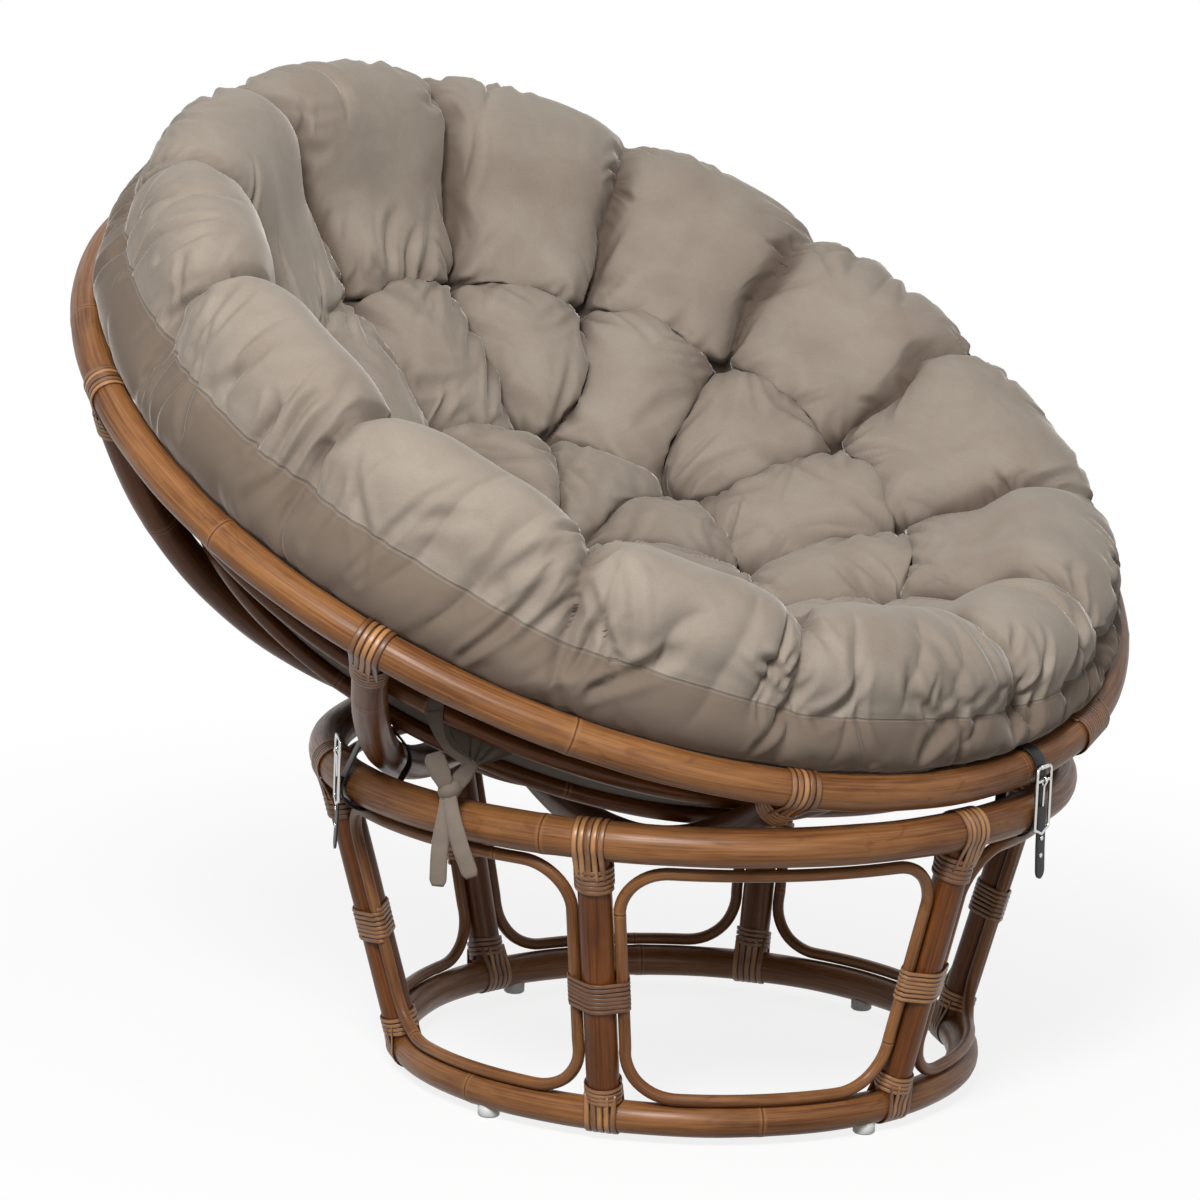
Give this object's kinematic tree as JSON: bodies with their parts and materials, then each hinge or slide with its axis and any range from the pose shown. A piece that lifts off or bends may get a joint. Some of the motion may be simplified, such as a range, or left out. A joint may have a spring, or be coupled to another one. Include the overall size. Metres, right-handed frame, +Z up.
{
  "type": "papasan chair",
  "caption": "Round rattan bowl chair: a deep tufted cushion in a tilted ribbed bowl that rests in a drum-shaped pole base, held by buckled straps.",
  "frame": {"origin": "on the floor, under the middle of the chair's outline", "axes": "+Z up, -Y towards the low front edge of the bowl, +X to the sitter's left"},
  "size_m": [1.1468, 1.0578, 0.9837],
  "materials": {
    "rattan": "stained reddish-brown bent pole, satin",
    "rattan_dark": "darker stained pole, satin",
    "cane": "split cane binding, golden, slightly glossy",
    "velvet": "taupe velvet",
    "leather": "black leather, satin",
    "steel": "bright wire",
    "glide_plastic": "off-white moulded"
  },
  "bodies": {
    "base": {"base_top_ring": "rattan", "base_bottom_ring": "rattan", "post_1": "rattan_dark", "post_top_wrap_1": "cane", "post_mid_wrap_1": "cane", "window_loop_1": "rattan", "post_2": "rattan_dark", "post_top_wrap_2": "cane", "post_mid_wrap_2": "cane", "window_loop_2": "rattan", "post_3": "rattan_dark", "post_top_wrap_3": "cane", "post_mid_wrap_3": "cane", "window_loop_3": "rattan", "post_4": "rattan_dark", "post_top_wrap_4": "cane", "post_mid_wrap_4": "cane", "window_loop_4": "rattan", "post_5": "rattan_dark", "post_top_wrap_5": "cane", "post_mid_wrap_5": "cane", "window_loop_5": "rattan", "post_6": "rattan_dark", "post_top_wrap_6": "cane", "post_mid_wrap_6": "cane", "window_loop_6": "rattan", "glide_1": "glide_plastic", "glide_2": "glide_plastic", "glide_3": "glide_plastic", "glide_4": "glide_plastic", "strap_right": "leather", "strap_left": "leather", "buckle_left": "steel"},
    "bowl": {"bowl_rim": "rattan", "bowl_hub_ring": "rattan_dark", "bowl_inner_ring_1": "rattan_dark", "bowl_inner_ring_2": "rattan_dark", "rib_1": "rattan_dark", "rib_wrap_1": "cane", "rib_2": "rattan_dark", "rib_wrap_2": "cane", "rib_3": "rattan_dark", "rib_wrap_3": "cane", "rib_4": "rattan_dark", "rib_wrap_4": "cane", "rib_5": "rattan_dark", "rib_wrap_5": "cane", "rib_6": "rattan_dark", "rib_wrap_6": "cane", "rib_7": "rattan_dark", "rib_wrap_7": "cane", "rib_8": "rattan_dark", "rib_wrap_8": "cane", "cushion": "velvet", "cushion_tie": "velvet", "buckle_right": "steel"},
    "prong_right": {"prong_right": "steel"},
    "prong_left": {"prong_left": "steel"}
  },
  "joints": [
    {"name": "bowl_tilt", "type": "hinge", "parent": "base", "child": "bowl", "pos_m": [0, -0.11496, 0.88067], "axis": [1, 0, 0], "range_deg": [-25.9, 0], "deforming": ["strap_right", "strap_left"]},
    {"name": "prong_right_lift", "type": "hinge", "parent": "bowl", "child": "prong_right", "pos_m": [0.08783, -0.50653, 0.3579], "axis": [-0.9836, -0.1804, 0], "range_deg": [0, 100]},
    {"name": "prong_left_lift", "type": "hinge", "parent": "base", "child": "prong_left", "pos_m": [-0.37765, 0.00509, 0.3579], "axis": [0.5779, 0.8161, 0], "range_deg": [0, 100]}
  ]
}
